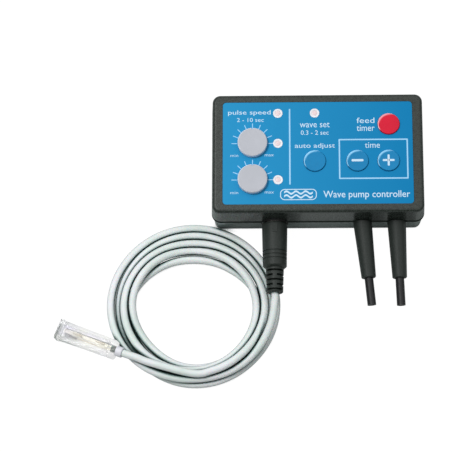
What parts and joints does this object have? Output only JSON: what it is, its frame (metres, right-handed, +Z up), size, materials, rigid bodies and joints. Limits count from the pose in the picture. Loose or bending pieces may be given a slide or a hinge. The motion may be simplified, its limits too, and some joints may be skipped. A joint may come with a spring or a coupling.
{
  "type": "aquarium wave pump controller",
  "caption": "Flat black control box with a blue panel, knobs and push buttons, a plug-in light sensor lead in a coil, and pump leads leaving one side.",
  "frame": {"origin": "centre of the enclosure's flat underside", "axes": "+Z up out of the front panel, +X to the right of the panel, -Y is the side the cables leave"},
  "size_m": [0.2137, 0.1667, 0.0392],
  "materials": {
    "case_black": "fine spark-eroded texture, satin black ABS",
    "panel_blue": "printed polyester overlay, satin",
    "button_blue": "satin moulded cap",
    "button_red": "satin moulded cap",
    "knob_grey": "fine matt light grey ABS",
    "window_white": "translucent diffuser",
    "screw_steel": "zinc plated",
    "board_green": "solder mask",
    "part_black": "moulded",
    "part_tan": "lacquered",
    "led_clear": "tinted epoxy",
    "plug_metal": "nickel plated",
    "contact_brass": "plated",
    "terminal_green": "moulded",
    "header_white": "natural nylon",
    "boot_black": "satin moulded PVC",
    "lead_black": "satin PVC jacket",
    "core_wire": "coloured PVC insulation",
    "cable_grey": "light grey PVC jacket",
    "capsule_clear": "clear polycarbonate",
    "ferrule_white": "translucent white"
  },
  "bodies": {
    "enclosure": {"top_shell": "case_black", "bottom_shell": "case_black", "case_screws": "screw_steel", "front_panel": "panel_blue", "led_windows": "window_white", "tact_switches": "part_black", "switch_covers": "screw_steel", "upper_pot_body": "part_black", "lower_pot_body": "part_black", "pot_bushings": "screw_steel", "pot_pins": "screw_steel", "circuit_board": "board_green", "board_screws": "screw_steel", "indicator_leds": "led_clear", "led_legs": "screw_steel", "led_spacers": "part_black", "chip_socket": "part_black", "microcontroller": "part_black", "crystal": "screw_steel", "resistors": "part_tan", "filter_capacitors": "part_black", "voltage_regulator": "part_black", "socket_housing": "part_black", "socket_shield": "plug_metal", "socket_contacts": "contact_brass", "sensor_header": "header_white", "sensor_wires": "core_wire", "left_boot": "boot_black", "right_boot": "boot_black", "left_lead": "lead_black", "right_lead": "lead_black", "left_lead_cores": "core_wire", "right_lead_cores": "core_wire", "left_terminal": "terminal_green", "right_terminal": "terminal_green", "cable_ties": "header_white"},
    "upper_knob": {"upper_knob": "knob_grey", "upper_pot_shaft": "screw_steel"},
    "lower_knob": {"lower_knob": "knob_grey", "lower_pot_shaft": "screw_steel"},
    "food_button": {"food_button": "button_red", "food_plunger": "part_black"},
    "auto_button": {"auto_button": "button_blue", "auto_plunger": "part_black"},
    "minus_button": {"minus_button": "button_blue", "minus_plunger": "part_black"},
    "plus_button": {"plus_button": "button_blue", "plus_plunger": "part_black"},
    "sensor_lead": {"plug_overmould": "boot_black", "plug_shell": "plug_metal", "plug_insulator": "part_black", "plug_pins": "plug_metal", "sensor_cable": "cable_grey", "cable_ferrule": "ferrule_white", "capsule_body": "capsule_clear", "capsule_cap": "capsule_clear", "photodiode": "capsule_clear", "photodiode_legs": "contact_brass", "sensor_cores": "core_wire"}
  },
  "joints": [
    {"name": "upper_knob_turn", "type": "hinge", "parent": "enclosure", "child": "upper_knob", "pos_m": [-0.0374, 0.0058, 0.036], "axis": [0, 0, 1], "range_deg": [-135, 135]},
    {"name": "lower_knob_turn", "type": "hinge", "parent": "enclosure", "child": "lower_knob", "pos_m": [-0.0374, -0.0161, 0.036], "axis": [0, 0, 1], "range_deg": [-135, 135]},
    {"name": "food_press", "type": "slide", "parent": "enclosure", "child": "food_button", "axis": [0, 0, -1], "range_m": [0, 0.0003], "stiffness_N_per_m": 400},
    {"name": "auto_press", "type": "slide", "parent": "enclosure", "child": "auto_button", "axis": [0, 0, -1], "range_m": [0, 0.0003], "stiffness_N_per_m": 400},
    {"name": "minus_press", "type": "slide", "parent": "enclosure", "child": "minus_button", "axis": [0, 0, -1], "range_m": [0, 0.0003], "stiffness_N_per_m": 400},
    {"name": "plus_press", "type": "slide", "parent": "enclosure", "child": "plus_button", "axis": [0, 0, -1], "range_m": [0, 0.0003], "stiffness_N_per_m": 400},
    {"name": "sensor_unplug", "type": "slide", "parent": "enclosure", "child": "sensor_lead", "axis": [0, -1, 0], "range_m": [0, 0.016]}
  ]
}
